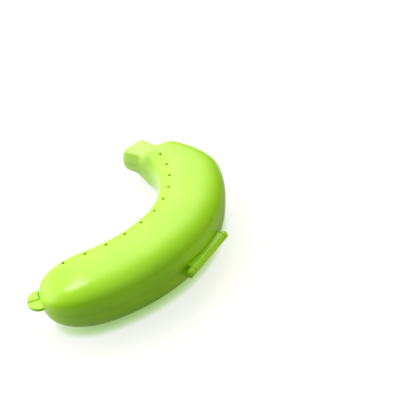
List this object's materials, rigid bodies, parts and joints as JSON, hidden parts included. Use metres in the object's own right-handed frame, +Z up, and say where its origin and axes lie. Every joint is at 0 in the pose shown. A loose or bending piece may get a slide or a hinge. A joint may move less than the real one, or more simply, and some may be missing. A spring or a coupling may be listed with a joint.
{
  "type": "banana carrying case",
  "caption": "Curved two-shell carrying case for one banana, with a stem, a line of vents, a pinned hinge, finger tabs and a moulded snap.",
  "frame": {"origin": "on the table under the middle of the body at its crown, where the hinge and the snap lie", "axes": "+X along the hinge towards the tail, +Y from the body to the hinge on the outer side of the bend, +Z up"},
  "size_m": [0.2303, 0.1476, 0.0484],
  "materials": {
    "shell_plastic": "smooth moulded plastic with a soft gloss",
    "pin_steel": "drawn steel wire"
  },
  "bodies": {
    "base": {"lower_shell": "shell_plastic", "hinge_pin": "pin_steel"},
    "lid": {"upper_shell": "shell_plastic"}
  },
  "joints": [
    {"name": "lid_hinge", "type": "hinge", "parent": "base", "child": "lid", "pos_m": [0, 0.03433, 0.0244], "axis": [-1, 0, 0], "range_deg": [0, 180]}
  ]
}
